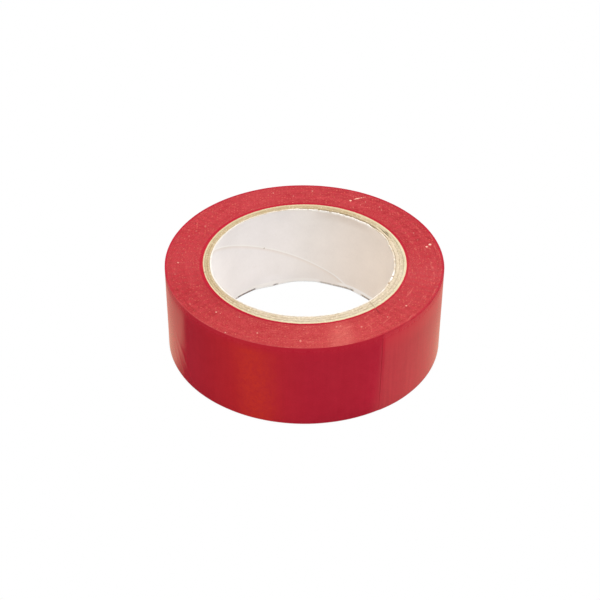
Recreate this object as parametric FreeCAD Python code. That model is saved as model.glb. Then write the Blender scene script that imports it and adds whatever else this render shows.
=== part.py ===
import FreeCAD, Part
import math
import os

# Roll of PVC electrical tape on a paper core. Millimetres, +Z up along the roll's axis.
# Origin: the roll's axis, in the plane of the flat side that it stands on.
# Seen from +Z the strip winds outwards clockwise. Its free end lies on the roll near -58 degrees.

Vector = FreeCAD.Vector

# ---- tape ----
TAPE_WIDTH = 19.0        # width of the strip, and height of the roll
ROLL_OD = 56.6           # outside diameter over the free end
FILM = 0.11              # thickness of the plasticised PVC film
ADHESIVE = 0.02          # thickness of the rubber-resin coat on the film's inner side
PITCH = FILM + ADHESIVE  # growth of the radius in one turn
HALF_TURNS = 113         # half turns wound between the core and the last half turn

# ---- free end ----
TAIL_ROOT = 2.0          # polar angle where the free end leaves the roll, in degrees
TAIL_SEGMENTS = 10       # lengths that the free end bends between
SEGMENT = 6.0            # angle of each length, in degrees
CUT = 0.04               # gap between neighbouring lengths of strip
LIFT = 0.02              # the free end lies this far off the turn below it

TAIL_R = ROLL_OD / 2.0   # film outer face of the free end
WOUND_R = TAIL_R - LIFT  # the same face where the strip is stuck down

# ---- core ----
CORE_BORE = 38.0         # inside diameter of the paper core
LINER = 0.30             # white inner paper ply
PLY = 0.44               # each of the three paperboard plies
PASTE = 0.02             # paste line between plies, left as a gap
SEAM_RISE = 59.8         # rise of a ply's helical seam in one full turn
LINER_SEAM_GAP = 0.12    # width of the butt gap, along the circumference
PLY_SEAM_GAP = 0.20
END_OVERRUN = 1.0        # cutting tools pass each end of the core by this much
SIDE_OVERRUN = 0.3       # the seam cutter passes each curved face of its ply by this much

# From the bore outwards: piece, thickness, seam's polar angle at the top edge, seam gap
CORE_PLIES = [
    ("core_liner", LINER, 169.5, LINER_SEAM_GAP),
    ("core_inner_ply", PLY, -48.0, PLY_SEAM_GAP),
    ("core_middle_ply", PLY, 72.0, PLY_SEAM_GAP),
    ("core_outer_ply", PLY, -168.0, PLY_SEAM_GAP),
]


# ---- the core ----
def ring(r_in, r_out):
    outer = Part.makeCylinder(r_out, TAPE_WIDTH)
    bore = Part.makeCylinder(r_in, TAPE_WIDTH + 2 * END_OVERRUN, Vector(0, 0, -END_OVERRUN))
    return outer.cut(bore)


def seam_cutter(r_in, r_out, top_angle, gap):
    """A thin helical wall that crosses the ring, to cut its butt seam."""
    r_mid = (r_in + r_out) / 2.0
    reach = (r_out - r_in) / 2.0 + SIDE_OVERRUN
    helix = Part.makeHelix(SEAM_RISE, TAPE_WIDTH + 2 * END_OVERRUN, r_mid)
    corners = [
        Vector(r_mid - reach, -gap / 2.0, 0),
        Vector(r_mid + reach, -gap / 2.0, 0),
        Vector(r_mid + reach, gap / 2.0, 0),
        Vector(r_mid - reach, gap / 2.0, 0),
    ]
    profile = Part.makePolygon(corners + [corners[0]])
    # The two flags are makeSolid and isFrenet
    cutter = Part.Wire(helix.Edges).makePipeShell([profile], True, True)

    # The helix starts below the core, turned back so that it meets the top edge at top_angle
    start_angle = top_angle - (TAPE_WIDTH + END_OVERRUN) / SEAM_RISE * 360.0
    cutter.translate(Vector(0, 0, -END_OVERRUN))
    cutter.rotate(Vector(0, 0, 0), Vector(0, 0, 1), start_angle)
    return cutter


def core():
    """The liner and plies, each a ring split by its own helical seam."""
    pieces = {}
    r_in = CORE_BORE / 2.0
    for name, thickness, top_angle, gap in CORE_PLIES:
        r_out = r_in + thickness
        split = ring(r_in, r_out).cut(seam_cutter(r_in, r_out, top_angle, gap))
        pieces[name] = split.Solids[0]
        r_in = r_out + PASTE
    return pieces


# ---- the winding ----
# The spiral is made of half-circle arcs. Arcs on the +X side (even index) are centred at
# y = -PITCH/4 and those on the -X side (odd index) at y = +PITCH/4, so each meets the next
# smoothly on the Y axis and the radius grows by PITCH/2 each half turn.
# A place on the strip is its winding angle in degrees: 0 is at polar angle +90, at the start of
# the last arc on the +X side, and the polar angle is 90 minus the winding angle.

def spiral_point(index, radius, winding):
    angle = math.radians(90.0 - winding)
    centre_y = -PITCH / 4.0 if index % 2 == 0 else PITCH / 4.0
    return Vector(radius * math.cos(angle), centre_y + radius * math.sin(angle), 0.0)


def spiral_arcs(start, stop, base_radius):
    """Edges between two winding angles; base_radius is the radius of the arc with index 0."""
    edges = []
    # The small term keeps a start that falls on a joint in the arc that begins there
    index = int(math.floor(start / 180.0 + 1e-9))
    while start < stop - 1e-9:
        arc_stop = min((index + 1) * 180.0, stop)
        radius = base_radius + index * PITCH / 2.0
        ends_and_middle = [
            spiral_point(index, radius, winding)
            for winding in (start, (start + arc_stop) / 2.0, arc_stop)
        ]
        edges.append(Part.Arc(*ends_and_middle).toShape())
        start = arc_stop
        index += 1
    return edges


def layer(start, stop, r_out, r_in):
    """A length of film or adhesive between two spiral faces, as wide as the tape."""
    outer = spiral_arcs(start, stop, r_out)
    inner = spiral_arcs(start, stop, r_in)

    def cross_line(from_edge, to_edge, parameter):
        return Part.makeLine(from_edge.valueAt(getattr(from_edge, parameter)),
                             to_edge.valueAt(getattr(to_edge, parameter)))

    edges = outer + [cross_line(outer[-1], inner[-1], "LastParameter")]
    edges += inner[::-1] + [cross_line(inner[0], outer[0], "FirstParameter")]
    wire = Part.Wire(Part.__sortEdges__(edges))
    return Part.Face(wire).extrude(Vector(0.0, 0.0, TAPE_WIDTH))


def tape(prefix, start, stop, radius, suffix=""):
    """A length of strip: film, with its adhesive on the inner side."""
    return {
        prefix + "_film" + suffix: layer(start, stop, radius, radius - FILM),
        prefix + "_adhesive" + suffix: layer(start, stop, radius - FILM, radius - PITCH),
    }


def winding():
    """The whole strip, from the core out to the tip of the free end."""
    core_end = -180.0 * HALF_TURNS
    root = 90.0 - TAIL_ROOT
    wrap_start = root - 360.0
    half_cut = math.degrees(CUT / TAIL_R) / 2.0

    # Every turn but the last
    pieces = tape("wound", core_end, wrap_start - half_cut, WOUND_R)

    # The last full turn, whose outer face is the roll's side wall
    pieces.update(tape("outer_wrap", wrap_start + half_cut, root - half_cut, WOUND_R))

    # The free end, in lengths that bend at lines parallel to the axis; the tip has no gap
    for n in range(TAIL_SEGMENTS):
        start = root + n * SEGMENT + half_cut
        end_cut = half_cut if n < TAIL_SEGMENTS - 1 else 0.0
        stop = root + (n + 1) * SEGMENT - end_cut
        pieces.update(tape("tail", start, stop, TAIL_R, "_%02d" % (n + 1)))
    return pieces


# ---- export ----
os.makedirs("parts", exist_ok=True)
for name, shape in {**core(), **winding()}.items():
    solid = shape.Solids[0]
    if not solid.isValid() or solid.Volume <= 0:
        raise RuntimeError(name + " is not a sound solid")
    solid.exportStep("parts/" + name + ".step")
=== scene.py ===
"""A roll of red PVC tape on a paperboard core, standing on its flat side.

The roll's axis is +Z and its lower slit edges lie at z = 0. The camera looks from -Y, so -Y is
the front and +X the right. Meshes are worked out in millimetres, and the scene is in metres.
The tape winds clockwise seen from above: winding angle 0 is at +Y and 90 at +X, the free end
lies at positive angles and each turn inwards is 360 degrees less.
"""
import math

import bpy
import numpy as np
from mathutils import Matrix, Vector


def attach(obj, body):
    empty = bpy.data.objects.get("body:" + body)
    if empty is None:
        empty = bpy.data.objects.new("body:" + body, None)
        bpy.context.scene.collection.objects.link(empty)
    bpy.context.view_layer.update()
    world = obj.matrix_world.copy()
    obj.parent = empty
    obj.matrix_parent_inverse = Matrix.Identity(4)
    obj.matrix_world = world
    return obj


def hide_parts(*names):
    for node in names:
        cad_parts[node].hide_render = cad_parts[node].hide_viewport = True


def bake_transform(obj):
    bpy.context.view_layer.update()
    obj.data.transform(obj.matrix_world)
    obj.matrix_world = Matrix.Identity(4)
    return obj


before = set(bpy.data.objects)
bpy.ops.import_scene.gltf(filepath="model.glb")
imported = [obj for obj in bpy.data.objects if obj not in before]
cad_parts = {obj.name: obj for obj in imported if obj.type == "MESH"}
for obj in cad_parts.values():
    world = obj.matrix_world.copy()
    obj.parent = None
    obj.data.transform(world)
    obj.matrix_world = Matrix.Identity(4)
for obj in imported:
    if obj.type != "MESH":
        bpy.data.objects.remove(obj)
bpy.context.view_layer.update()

# ---------------------------------------------------------------- sizes, in millimetres
MM = 0.001
WIDTH = 19.0
FILM, ADHESIVE = 0.11, 0.02
PITCH = FILM + ADHESIVE
OUTER_R, WOUND_R = 28.30, 28.28
LIFT = OUTER_R - WOUND_R
HALF_TURNS = 113
START = -180.0 * HALF_TURNS   # winding angle of the strip's inner end
ROOT = 88.0                   # winding angle where the free end leaves the roll
FACE_START = ROOT - 360.0     # winding angle where the outermost full turn starts
SEGMENT = 6.0                 # angle of each length of the free end
SEGMENTS = 10
CUT_END = ROOT + SEGMENT * SEGMENTS
TURN_LENGTH = 177.7           # length of the outermost turn, for the strip's textures

# slit edges of the strip
BEVEL = 0.028
Z_SHOULDER = 0.052       # where the bevel starts, in from the flat side
Z_CREST = 0.020          # the mean crest, in from the flat side
GLUE_IN = 0.075          # how far the adhesive stops short of the flat side

# core
LINER, PLY, PASTE, BORE_R = 0.30, 0.44, 0.02, 19.0
SEAM_RISE = 59.8              # climb of a ply's seam in one turn
LINER_SEAM = 169.5            # polar angle of the liner's seam at the top
NICK_ANGLE, NICK_Z = 117.0, 10.1
CORE_BEVEL = 0.075            # height of a ply's crowned cut edge


# ---------------------------------------------------------------- seeded noise
class Field:
    """Smooth seeded noise from -1 to 1 on a lattice, periodic in its first direction."""

    def __init__(self, seed, columns, rows=4):
        self.grid = np.random.default_rng(seed).uniform(-1.0, 1.0, (columns, rows))
        self.columns, self.rows = columns, rows

    def __call__(self, along, across=0.0):
        along, across = np.broadcast_arrays(np.asarray(along, float), np.asarray(across, float))
        x = (along % 1.0) * self.columns
        y = np.clip(across, 0.0, 1.0) * (self.rows - 1)
        i, j = np.floor(x).astype(int), np.minimum(np.floor(y).astype(int), self.rows - 2)
        part_x, part_y = x - i, y - j
        part_x = part_x * part_x * (3 - 2 * part_x)
        part_y = part_y * part_y * (3 - 2 * part_y)
        this, following = i % self.columns, (i + 1) % self.columns
        low = self.grid[this, j] * (1 - part_x) + self.grid[following, j] * part_x
        high = self.grid[this, j + 1] * (1 - part_x) + self.grid[following, j + 1] * part_x
        return low * (1 - part_y) + high * part_y


def smooth(x, low, high):
    part = np.clip((np.asarray(x, float) - low) / (high - low), 0.0, 1.0)
    return part * part * (3 - 2 * part)


def hump(x, foot_in, top_in, top_out, foot_out):
    """0 before foot_in, 1 from top_in to top_out, 0 after foot_out."""
    return smooth(x, foot_in, top_in) * (1.0 - smooth(x, top_out, foot_out))


def wrap(degrees):
    return (np.asarray(degrees, float) + 180.0) % 360.0 - 180.0


# ---------------------------------------------------------------- mesh building
def make_object(name, points, faces, mats, slots=None, uv=None, sharp=38.0):
    """One object from points in millimetres. slots is per face and uv per point."""
    mesh = bpy.data.meshes.new(name)
    mesh.from_pydata((np.asarray(points, float) * MM).tolist(), [], faces)
    for mat in mats:
        mesh.materials.append(mat)
    if slots is not None:
        mesh.polygons.foreach_set("material_index", np.asarray(slots, np.int32))
    if uv is not None:
        layer = mesh.uv_layers.new(name="strip")
        index = np.zeros(len(mesh.loops), np.int32)
        mesh.loops.foreach_get("vertex_index", index)
        layer.data.foreach_set("uv", np.asarray(uv, np.float32)[index].ravel())
    mesh.polygons.foreach_set("use_smooth", np.ones(len(mesh.polygons), bool))
    mesh.update()
    mesh.set_sharp_from_angle(angle=math.radians(sharp))
    obj = bpy.data.objects.new(name, mesh)
    bpy.context.scene.collection.objects.link(obj)
    return obj


def loop_faces(sections, size, closed=True):
    """Quads that join sections of size points each, column by column within each row."""
    row, col = np.meshgrid(
        np.arange(sections - 1), np.arange(size if closed else size - 1), indexing="ij")
    after = (col + 1) % size
    quads = [row * size + col, row * size + after,
             (row + 1) * size + after, (row + 1) * size + col]
    return np.stack(quads, -1).reshape(-1, 4)


def spiral(wind, last_radius=WOUND_R):
    """Points of the winding at angles wind, and the outward direction there."""
    half_turn = np.floor(np.asarray(wind, float) / 180.0 + 1e-9)
    radius = last_radius + half_turn * PITCH / 2.0
    polar = np.radians(90.0 - np.asarray(wind, float))
    centre_y = np.where(half_turn % 2 == 0, -PITCH / 4.0, PITCH / 4.0)
    outward = np.stack([np.cos(polar), np.sin(polar)], -1)
    points = np.stack([radius * outward[..., 0], centre_y + radius * outward[..., 1]], -1)
    return points, outward


def strip_object(name, wind, offset, z, mats, slots=None, closed=True, flip=False,
                 cut=(False, False), cut_slot=0, sharp=38.0):
    """A length of strip. Winding angle, distance out from the film's outer face and height
    broadcast to one row for each section. slots is per column; cut says which ends are closed."""
    wind, offset, z = np.broadcast_arrays(wind, offset, z)
    sections, size = wind.shape
    on_spiral, outward = spiral(wind)
    points = np.concatenate([on_spiral + outward * offset[..., None], z[..., None]], -1)
    faces = loop_faces(sections, size, closed)
    faces = (faces[:, ::-1] if flip else faces).tolist()
    if slots is not None:
        slots = np.tile(np.broadcast_to(slots, size), sections - 1).tolist()
        slots += [cut_slot] * sum(cut)
    if cut[0]:
        faces.append(list(range(size))[::-1])
    if cut[1]:
        faces.append(list(range((sections - 1) * size, sections * size)))
    uv = np.stack([wind.ravel() / 360.0, z.ravel() / WIDTH], -1)
    return make_object(name, points.reshape(-1, 3), faces, mats, slots, uv, sharp)


def on_roll(obj, node):
    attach(obj, "roll")
    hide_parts(node)


# ---------------------------------------------------------------- shader nodes
class Wire:
    """The output of a node. Arithmetic on it adds Math nodes."""

    def __init__(self, graph, socket):
        self.graph, self.socket = graph, socket

    def math(self, operation, *values):
        return self.graph.node("Math", dict(enumerate(values)), operation=operation)

    def __add__(self, other):
        return self.math("ADD", self, other)

    def __radd__(self, other):
        return self.math("ADD", other, self)

    def __sub__(self, other):
        return self.math("SUBTRACT", self, other)

    def __rsub__(self, other):
        return self.math("SUBTRACT", other, self)

    def __mul__(self, other):
        return self.math("MULTIPLY", self, other)

    def __truediv__(self, other):
        return self.math("DIVIDE", self, other)

    def __pow__(self, other):
        return self.math("POWER", self, other)

    def __abs__(self):
        return self.math("ABSOLUTE", self)

    def max(self, other):
        return self.math("MAXIMUM", self, other)

    def min(self, other):
        return self.math("MINIMUM", self, other)

    def rise(self, start, end, to=(0.0, 1.0), kind="SMOOTHSTEP"):
        """Goes smoothly from to[0] to to[1] as the value goes from start to end."""
        ins = {"Value": self, "From Min": start, "From Max": end, "To Min": to[0], "To Max": to[1]}
        return self.graph.node("MapRange", ins, interpolation_type=kind)

    def line(self, start, end, to=(0.0, 1.0)):
        """Like rise, in a straight line."""
        return self.rise(start, end, to, "LINEAR")

    def fall(self, start, end):
        return 1.0 - self.rise(start, end)

    def band(self, foot_in, top_in, top_out, foot_out):
        """0 before foot_in, 1 from top_in to top_out, 0 after foot_out."""
        return self.rise(foot_in, top_in) * self.fall(top_out, foot_out)

    def vector(self, operation, other=None, out=0):
        return self.graph.node("VectorMath", {0: self, 1: other}, out, operation=operation)

    def scaled(self, *factors):
        return self.vector("MULTIPLY", factors)

    def length(self):
        return self.vector("LENGTH", out="Value")

    def distance(self, *point):
        return self.vector("DISTANCE", point, "Value")


class Graph:
    """The node tree of a material or a world."""

    def __init__(self, owner):
        owner.use_nodes = True
        self.tree = owner.node_tree
        self.tree.nodes.clear()

    def put(self, socket, value):
        if isinstance(value, Wire):
            value = value.socket
        if isinstance(value, bpy.types.NodeSocket):
            self.tree.links.new(value, socket)
        elif value is not None:
            if hasattr(value, "__len__") and len(value) == 3 and len(socket.default_value) == 4:
                value = (*value, 1.0)
            socket.default_value = value

    def add(self, kind, ins=None, **props):
        node = self.tree.nodes.new("ShaderNode" + kind)
        for key, value in props.items():
            setattr(node, key, value)
        for key, value in (ins or {}).items():
            self.put(node.inputs[key], value)
        return node

    def node(self, kind, ins=None, out=0, **props):
        return Wire(self, self.add(kind, ins, **props).outputs[out])

    def split(self, vector):
        return [Wire(self, out) for out in self.add("SeparateXYZ", {0: vector}).outputs]

    def xyz(self, *parts):
        return self.node("CombineXYZ", dict(enumerate(parts)))

    def rgb(self, *parts):
        return self.node("CombineColor", dict(enumerate(parts)))

    def noise(self, vector, scale, detail=3.0, rough=0.55, distortion=0.0):
        return self.node("TexNoise", {"Vector": vector, "Scale": scale, "Detail": detail,
                                      "Roughness": rough, "Distortion": distortion})

    def cells(self, vector, scale, dimensions="2D", out=0):
        """Distance to the middle of the nearest cell, or another output of the cells."""
        return self.node("TexVoronoi", {"Vector": vector, "Scale": scale, "Randomness": 1.0},
                         out, voronoi_dimensions=dimensions, feature="F1")

    def scatter(self, vector, scale, dimensions="2D"):
        """Distance to the middle of the nearest cell, and a random number for that cell."""
        distance = self.cells(vector, scale, dimensions)
        colour = self.cells(vector, scale, dimensions, out="Color")
        return distance, self.node("SeparateColor", {0: colour})

    def mix(self, base, to, by, blend="MIX"):
        return self.node("Mix", {0: by, 6: base, 7: to}, 2, data_type="RGBA", blend_type=blend)

    def multiply(self, base, to):
        return self.mix(base, to, by=1.0, blend="MULTIPLY")

    def ramp(self, value, stops):
        node = self.add("ValToRGB", {0: value})
        elements = node.color_ramp.elements
        while len(elements) < len(stops):
            elements.new(0.5)
        for element, (position, colour) in zip(elements, stops):
            element.position = position
            element.color = (*colour, 1.0)
        return Wire(self, node.outputs[0])

    def bump(self, height, distance, strength, normal=None):
        return self.node("Bump", {"Height": height, "Distance": distance,
                                  "Strength": strength, "Normal": normal})


class Finish(Graph):
    """A principled material."""

    def __init__(self, name):
        self.mat = bpy.data.materials.new(name)
        super().__init__(self.mat)
        out = self.add("OutputMaterial")
        self.bsdf = self.add("BsdfPrincipled")
        self.put(out.inputs["Surface"], self.bsdf.outputs[0])

    def done(self, **inputs):
        for name, value in inputs.items():
            self.put(self.bsdf.inputs[name.replace("_", " ")], value)
        return self.mat

    def place(self):
        """Position on the object in millimetres, its parts, and its polar angle in degrees."""
        place = self.node("TexCoord", out="Object").scaled(1000.0, 1000.0, 1000.0)
        x, y, z = self.split(place)
        return place, x, y, z, y.math("DEGREES", y.math("ARCTAN2", y, x))

    def strip_uv(self):
        """The strip's own map: turns along it, and the share of its width."""
        return self.node("UVMap", uv_map="strip")


def from_crease(angle, radius):
    """Degrees from the slanting crease across the core's top edge."""
    return abs(angle + 47.5 + (radius - 19.5) * 0.83)


# ---------------------------------------------------------------- film face
# colour round the roll: winding angle, colour
FACE_HUES = [
    (-272, (0.465, 0.0135, 0.0340)), (-214, (0.470, 0.0120, 0.0370)),
    (-200, (0.450, 0.0120, 0.0330)), (-182, (0.465, 0.0125, 0.0330)),
    (-172, (0.485, 0.0145, 0.0300)), (-160, (0.490, 0.0150, 0.0260)),
    (-150, (0.495, 0.0155, 0.0240)), (-137, (0.440, 0.0118, 0.0260)),
    (-128, (0.450, 0.0120, 0.0300)), (-60, (0.465, 0.0125, 0.0330)),
    (80, (0.465, 0.0135, 0.0340)), (96, (0.490, 0.0160, 0.0340)),
    (148, (0.480, 0.0120, 0.0370)),
]


def film_side():
    """Satin plasticised PVC: the face of the strip."""
    mat = Finish("pvc_film_face")
    uv = mat.strip_uv()
    turns, up, _ = mat.split(uv)
    place = uv.scaled(TURN_LENGTH, WIDTH, 0.0)
    wind, z = turns * 360.0, up * WIDTH
    hue = mat.ramp(wind.line(FACE_START, CUT_END), [
        ((at - FACE_START) / (CUT_END - FACE_START), colour) for at, colour in FACE_HUES])
    broad = mat.noise(place, scale=0.045, detail=2.0, rough=0.5)
    mottle = mat.noise(place, scale=0.55, detail=4.0, rough=0.6)
    grain = mat.noise(place, scale=3.2, rough=0.6)
    streak = mat.noise(place.scaled(1.0, 0.045, 1.0), scale=1.4, detail=4.0, rough=0.65)
    shade = mottle.line(0.25, 0.75, to=(-0.05, 0.05)) + broad.line(0.3, 0.7, to=(-0.04, 0.04))
    shade = shade + streak.line(0.3, 0.7, to=(-0.035, 0.035))
    shade = shade + grain.line(0.3, 0.7, to=(-0.055, 0.055))
    colour = mat.multiply(hue, mat.rgb(*(1.0 + shade for _ in range(3))))
    # painted reflection: one soft mottled patch, leaning with height, is drawn more orange,
    # standing in for a warm light mirrored in the side
    leaning = wind + (z - 9.5) * -0.12
    patch = leaning.band(-173.5, -160.5, -158.6, -148.6)
    blotches = mat.noise(place, scale=0.75, detail=5.0, rough=0.65)
    patch = patch * blotches.rise(0.34, 0.66, to=(0.45, 1.0))
    patch = patch * z.rise(15.5, 18.4, to=(1.0, 0.35))
    spots = mat.noise(place, scale=2.3, rough=0.65)
    patch = patch * spots.line(0.32, 0.68, to=(0.50, 1.40))
    colour = mat.mix(colour, to=(0.585, 0.0310, 0.0215), by=patch)
    # the colour deepens towards the top rim, and from lower down on the right
    right = wind.rise(30.0, 60.0)
    lower = z.rise(12.5, 18.6, to=(0.0, 0.60)) - z.rise(16.6, 18.6, to=(0.0, 0.55))
    deeper = z.rise(16.6, 18.6, to=(0.0, 0.55)) + right * lower
    rim = mat.mix((0.530, 0.0095, 0.0320), to=(0.640, 0.0115, 0.0370), by=right)
    colour = mat.mix(colour, to=rim, by=deeper)
    # painted highlight: both slit corners are drawn a brighter red, standing in for the floor's
    # light at the foot and the light caught by the top rim
    corner = z.fall(0.0, 0.35).max(z.rise(WIDTH - 0.25, WIDTH))
    colour = mat.mix(colour, to=(0.560, 0.0120, 0.0360), by=corner * 0.65)
    # the free end doesn't lie as close as the turns below it; its paler streaks are painted sheen,
    # where the side mirrors the lit floor on the right
    pale = wind.rise(90.0, 150.0) * streak.rise(0.40, 0.72, to=(0.0, 0.15))
    colour = mat.mix(colour, to=(0.620, 0.0500, 0.0600), by=pale)
    # faint scuffs
    scuff = mat.noise(place.scaled(0.25, 1.0, 1.0), scale=1.9, detail=6.0, rough=0.72)
    scuff = scuff.rise(0.66, 0.80)
    colour = mat.mix(colour, to=(0.700, 0.200, 0.190), by=scuff * 0.10)
    rough = mottle.line(0.3, 0.7, to=(0.10, 0.15)) + scuff * 0.12
    rough = rough + streak.line(0.35, 0.65, to=(-0.02, 0.03))
    height = grain * 0.5 + mat.noise(place, scale=9.0, detail=2.0, rough=0.5) * 0.5
    normal = mat.bump(height, distance=0.000006, strength=0.55)
    normal = mat.bump(streak, distance=0.000014, strength=0.45, normal=normal)
    # the top is matted by the knife
    rough = rough + z.rise(16.2, 18.8, to=(0.0, 0.18))
    gloss = z.rise(15.0, 18.5, to=(0.5, 0.11))
    glossier = z.rise(16.2, 18.7, to=(0.54, 0.27)) - gloss
    gloss = gloss + glossier * right
    return mat.done(Base_Color=colour, Roughness=rough, IOR=1.49, Specular_IOR_Level=gloss,
                    Normal=normal)


# ---------------------------------------------------------------- film edge
# lint and burr on the slit edges: x, y, radius, strength
LINT = [
    (9.91, 22.22, 0.34, 1.0), (11.0, 22.80, 0.24, 0.80), (11.3, 22.95, 0.26, 0.90),
    (11.6, 23.08, 0.26, 0.85), (12.3, 23.35, 0.24, 0.75), (13.1, 23.6, 0.18, 0.45),
    (11.9, 23.2, 0.20, 0.6), (12.7, 23.5, 0.16, 0.5), (10.7, 22.7, 0.16, 0.5),
    (25.85, 5.92, 0.40, 1.0), (25.14, 5.10, 0.34, 0.95), (25.5, 5.5, 0.12, 0.35),
    (26.45, 9.30, 0.24, 0.75), (-23.87, 8.56, 0.20, 0.35), (19.84, -14.86, 0.26, 0.75),
    (-0.71, -25.97, 0.30, 0.45), (-8.89, -23.63, 0.26, 0.45), (-14.98, -23.53, 0.24, 0.55),
    (-17.0, -17.18, 0.24, 0.8), (-16.2, -17.6, 0.14, 0.4), (-25.5, -0.89, 0.26, 0.55),
    (1.74, 25.92, 0.24, 0.5), (-2.37, 23.9, 0.20, 0.45), (-6.71, 25.04, 0.22, 0.5),
    (-20.75, 12.24, 0.20, 0.35), (12.01, 20.54, 0.18, 0.4), (13.12, 21.71, 0.20, 0.45),
    (16.05, 19.81, 0.20, 0.4), (16.43, 18.66, 0.20, 0.4), (22.75, 10.1, 0.20, 0.45),
    (23.43, 7.56, 0.18, 0.35), (18.64, -13.01, 0.20, 0.35), (16.05, -18.45, 0.22, 0.4),
    (-24.01, 10.73, 0.18, 0.3), (-22.52, 10.38, 0.18, 0.3), (-25.82, -4.83, 0.16, 0.35),
    (-22.19, -14.68, 0.20, 0.35), (-12.49, -18.71, 0.20, 0.3), (6.16, -21.65, 0.22, 0.45),
    (10.94, -21.6, 0.22, 0.5), (6.9, -21.3, 0.16, 0.35),
]
FLATTEN = 0.15      # how much height counts in the edge's textures


def film_edge():
    """The slit edges of the strip, side by side: dull, slightly dusty, and drawn paler with a
    painted whitish sheen.
    """
    mat = Finish("pvc_film_edge")
    place, x, y, _, angle = mat.place()
    radius = place.scaled(1.0, 1.0, 0.0).length()
    flat = place.scaled(1.0, 1.0, FLATTEN)
    broad = mat.noise(flat, scale=0.11)
    blotch = mat.noise(flat, scale=0.75)
    grain = mat.noise(flat, scale=3.0, detail=4.0, rough=0.65)
    fine = mat.noise(flat, scale=5.5, rough=0.6)
    # turns differ a little from one to the next
    ring = mat.noise(mat.xyz(radius * 1.0, angle * 0.004, 0.0), scale=2.6, detail=4.0, rough=0.7)
    shade = blotch.line(0.28, 0.72, to=(-0.035, 0.035)) + grain.line(0.28, 0.72, to=(-0.06, 0.06))
    shade = shade + ring.line(0.3, 0.7, to=(-0.045, 0.045))
    shade = shade + fine.line(0.3, 0.7, to=(-0.12, 0.12))
    # the base colours are partly dust and partly a painted whitish sheen of the rough edges
    dusty = (blotch * 0.3 + fine * 0.7).rise(0.38, 0.66)
    colour = mat.mix((0.560, 0.040, 0.056), to=(0.640, 0.084, 0.100), by=dusty)
    colour = mat.mix(colour, to=(0.660, 0.095, 0.105), by=broad.rise(0.35, 0.65, to=(0.0, 0.35)))
    lift = 1.0 + shade
    colour = mat.multiply(colour, mat.rgb(lift ** 0.55, lift, lift))
    # paler towards the front, deeper towards the back
    tint = mat.mix((0.860, 0.790, 0.690), to=(0.750, 0.525, 0.535), by=y.rise(-26.0, -8.0))
    colour = mat.multiply(colour, tint)
    # deeper at the left and right
    colour = mat.mix(colour, to=(0.300, 0.0050, 0.0100), by=abs(x).rise(12.0, 26.0, to=(0.0, 0.13)))
    # many faint flecks, small specks and dark pits
    near, keep = mat.scatter(flat, scale=0.85, dimensions="3D")
    fleck = near.fall(0.05, 0.16) * keep.rise(0.55, 0.95)
    colour = mat.mix(colour, to=(0.760, 0.260, 0.190), by=fleck * 0.60)
    near, keep = mat.scatter(flat, scale=1.7)
    speck = near.fall(0.10, 0.30) * keep.rise(0.45, 0.95)
    colour = mat.mix(colour, to=(0.720, 0.225, 0.135), by=speck * 0.42)
    near = mat.cells(flat.vector("ADD", (3.7, 1.9, 0.0)), scale=1.25)
    pit = near.rise(0.08, 0.26, to=(1.0, 0.0)) * grain.rise(0.36, 0.60, to=(0.15, 1.0))
    colour = mat.mix(colour, to=(0.400, 0.0080, 0.0300), by=pit * 0.42)
    # arc-shaped knife marks, stronger towards the front right
    arc = mat.xyz((radius + angle * 0.07) * 1.7, angle * 0.13, 0.0)
    arc = mat.noise(arc, scale=1.0, detail=4.0, rough=0.7, distortion=0.4).rise(0.56, 0.70)
    arc = arc * (x - y).rise(4.0, 24.0, to=(0.16, 0.46))
    colour = mat.mix(colour, to=(0.740, 0.230, 0.180), by=arc)
    # a rubbed patch in front
    rub = flat.scaled(1.0, 0.45, 1.0).distance(7.0, -11.3, WIDTH * FLATTEN)
    rub = rub.rise(0.8, 3.6, to=(1.0, 0.0)) * grain.rise(0.3, 0.62, to=(0.35, 1.0))
    colour = mat.mix(colour, to=(0.700, 0.190, 0.150), by=rub * 0.45)
    # lint, with wandering outlines
    jitter = mat.noise(flat, scale=5.0, detail=2.0, rough=0.5)
    lint = None
    for lint_x, lint_y, size, strength in LINT:
        away = flat.distance(lint_x, lint_y, WIDTH * FLATTEN)
        away = away + jitter.line(0.3, 0.7, to=(-0.12 * size, 0.12 * size))
        spot = away.rise(size * 0.35, size, to=(strength, 0.0))
        lint = spot if lint is None else lint.max(spot)
    colour = mat.mix(colour, to=(0.930, 0.600, 0.470), by=lint)
    # light soaks through the innermost and outermost turns, which look deeper crimson
    wind = mat.split(mat.strip_uv())[0] * 360.0
    aside = y.rise(-6.0, 8.0).max(x.rise(-14.0, -6.0, to=(1.0, 0.0)))
    reach = wind + aside * x.rise(-14.0, 4.0, to=(-190.0, -340.0))
    core_line = reach.fall(START + 560.0, START + 1080.0)
    rim_line = wind.rise(-1250.0, -720.0)
    back = y.rise(-15.0, -3.0)
    crimson = core_line.max(rim_line * back.max(x.rise(6.0, 16.0, to=(0.0, 0.7))))
    colour = mat.mix(colour, to=(0.435, 0.0032, 0.0250), by=crimson * 0.97)
    # painted highlight: the outermost turns are paler in front, where their outer bevel catches the
    # light
    front_rim = wind.rise(-500.0, -300.0) * (1.0 - back) * x.rise(-2.0, 10.0, to=(0.25, 0.0))
    colour = mat.mix(colour, to=(0.720, 0.160, 0.160), by=front_rim)
    # the crease across the core runs on a little way into the turns
    crease = from_crease(angle, radius).rise(0.12, 0.60, to=(1.0, 0.0))
    crease = crease * radius.rise(21.8, 23.6, to=(0.85, 0.0))
    colour = mat.mix(colour, to=(0.260, 0.0200, 0.0240), by=crease)
    height = grain * 0.6 + fine * 0.4 + lint * 1.2
    return mat.done(Base_Color=colour, Roughness=grain.line(0.3, 0.7, to=(0.62, 0.85)), IOR=1.50,
                    Specular_IOR_Level=0.20,
                    Normal=mat.bump(height, distance=0.000008, strength=0.5))


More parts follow.
